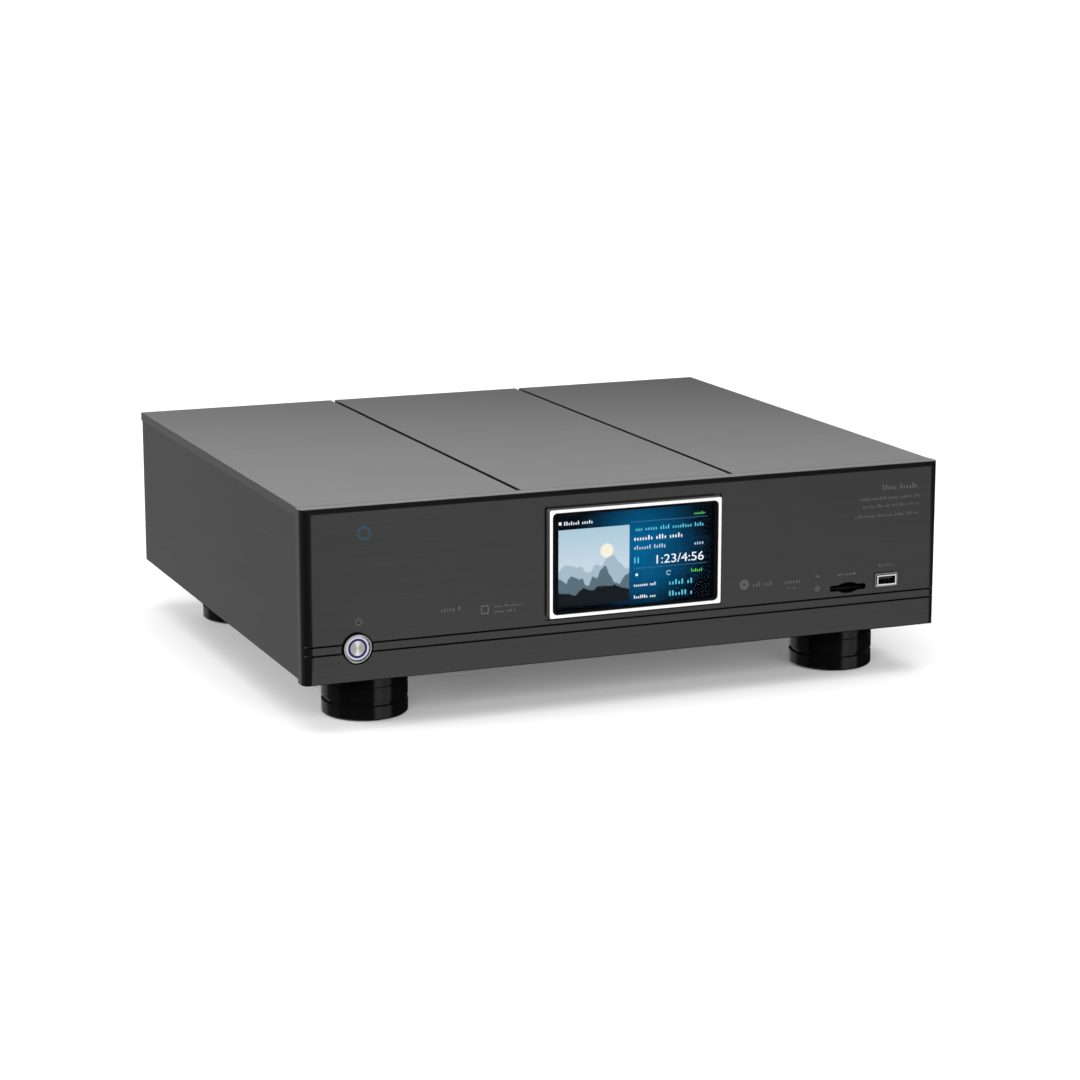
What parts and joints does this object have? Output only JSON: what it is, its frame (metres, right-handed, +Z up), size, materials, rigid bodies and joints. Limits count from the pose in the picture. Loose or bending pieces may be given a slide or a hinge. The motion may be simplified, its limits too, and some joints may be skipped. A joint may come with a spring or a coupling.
{
  "type": "desktop network audio dac",
  "caption": "Full-width aluminium network player and DAC: rounded front panel with framed colour display and lit power button, grooved top cover, round feet, rear sockets.",
  "frame": {"origin": "on the floor, under the middle of the whole object's box", "axes": "+X right seen from the front, +Y from the front panel to the rear sockets, +Z up"},
  "size_m": [0.4382, 0.397, 0.1415],
  "materials": {
    "front_anodised": "black anodised, brushed along the width",
    "cover_anodised": "black anodised, brushed along the width",
    "side_anodised": "black anodised, fine satin",
    "black_powder": "fine black powder coat",
    "raw_aluminium": "milled",
    "screw_steel": "black oxide, machined",
    "foot_gloss": "polished black anodised",
    "foot_rubber": "matte",
    "frame_silver": "polished and clear anodised",
    "black_plastic": "matte",
    "display_glass": "clear cover glass, dark border",
    "lcd_panel": "lit picture, blue",
    "board_green": "solder mask over glass fibre",
    "board_blue": "solder mask over glass fibre",
    "bezel_steel": "bright stainless steel",
    "cap_steel": "turned stainless steel",
    "ring_light": "translucent, lit blue-violet",
    "socket_metal": "nickel plate",
    "red_window": "dark red filter",
    "pin_metal": "plated brass",
    "switch_plastic": "semi-gloss",
    "fuse_caps": "nickel-plated caps on a glass tube",
    "gold_plate": "gold plate",
    "insert_white": "moulded",
    "insert_red": "moulded",
    "xlr_black": "black plated",
    "coil_tape": "copper winding under amber tape",
    "zinc_steel": "zinc plate",
    "capacitor_sleeve": "shrink sleeve",
    "sink_black": "black anodised",
    "chip_black": "moulded epoxy",
    "standoff_brass": "machined"
  },
  "bodies": {
    "case": {"front_panel": "front_anodised", "top_cover": "cover_anodised", "left_side": "side_anodised", "right_side": "side_anodised", "base_plate": "black_powder", "rear_panel": "black_powder", "corner_blocks": "raw_aluminium", "tie_bolts": "screw_steel", "panel_screws": "screw_steel", "feet": "foot_gloss", "foot_pads": "foot_rubber", "foot_screws": "screw_steel", "display_frame": "frame_silver", "display_mask": "black_plastic", "display_glass": "display_glass", "lcd_module": "lcd_panel", "display_board": "board_green", "button_bezel": "bezel_steel", "light_ring": "ring_light", "button_switch": "black_plastic", "front_usb_shell": "socket_metal", "front_usb_tongue": "black_plastic", "sd_socket": "black_plastic", "ir_window": "red_window", "front_board": "board_green", "mains_inlet": "black_plastic", "mains_pins": "pin_metal", "rca_shells": "gold_plate", "rca_white_insert": "insert_white", "rca_red_insert": "insert_red", "coax_inserts": "black_plastic", "xlr_outputs": "xlr_black", "xlr_pins": "pin_metal", "xlr_input": "xlr_black", "ethernet_port": "socket_metal", "usb_b_port": "socket_metal", "rear_usb_ports": "socket_metal", "toslink_housings": "black_plastic", "antenna_jacks": "gold_plate", "jack_sockets": "black_plastic", "serial_port": "socket_metal", "transformer": "coil_tape", "transformer_clamp": "zinc_steel", "power_board": "board_green", "reservoir_capacitors": "capacitor_sleeve", "regulator_heatsink": "sink_black", "dac_board": "board_blue", "dac_parts": "chip_black", "network_board": "board_green", "processor_heatsink": "raw_aluminium", "shield_wall": "zinc_steel", "standoffs": "standoff_brass"},
    "power_button": {"button_cap": "cap_steel"},
    "mains_switch_key": {"rocker": "switch_plastic"},
    "fuse_holder": {"fuse_drawer": "black_plastic", "fuse": "fuse_caps"},
    "optical_flap_1": {"toslink_flap_1": "switch_plastic"},
    "optical_flap_2": {"toslink_flap_2": "switch_plastic"},
    "plug_release": {"xlr_latch": "socket_metal"},
    "card_carriage": {"sd_slider": "black_plastic"}
  },
  "joints": [
    {"name": "power_button_press", "type": "slide", "parent": "case", "child": "power_button", "axis": [0, 1, 0], "range_m": [0, 0.0015], "stiffness_N_per_m": 1200, "springref_m": -0.0012},
    {"name": "mains_switch_rock", "type": "hinge", "parent": "case", "child": "mains_switch_key", "pos_m": [-0.172, 0.1855, 0.1025], "axis": [-1, 0, 0], "range_deg": [0, 16]},
    {"name": "fuse_drawer_slide", "type": "slide", "parent": "case", "child": "fuse_holder", "axis": [0, 1, 0], "range_m": [0, 0.022]},
    {"name": "optical_flap_1_swing", "type": "hinge", "parent": "case", "child": "optical_flap_1", "pos_m": [0.012, 0.1892, 0.0634], "axis": [-1, 0, 0], "range_deg": [0, 80], "stiffness_Nm_per_rad": 0.002, "springref_deg": -28.65},
    {"name": "optical_flap_2_swing", "type": "hinge", "parent": "case", "child": "optical_flap_2", "pos_m": [0.03, 0.1892, 0.0634], "axis": [-1, 0, 0], "range_deg": [0, 80], "stiffness_Nm_per_rad": 0.002, "springref_deg": -28.65},
    {"name": "plug_release_press", "type": "slide", "parent": "case", "child": "plug_release", "axis": [0, -1, 0], "range_m": [0, 0.0015], "stiffness_N_per_m": 800, "springref_m": -0.001},
    {"name": "card_carriage_slide", "type": "slide", "parent": "case", "child": "card_carriage", "axis": [0, 1, 0], "range_m": [0, 0.003], "stiffness_N_per_m": 300, "springref_m": -0.001}
  ]
}
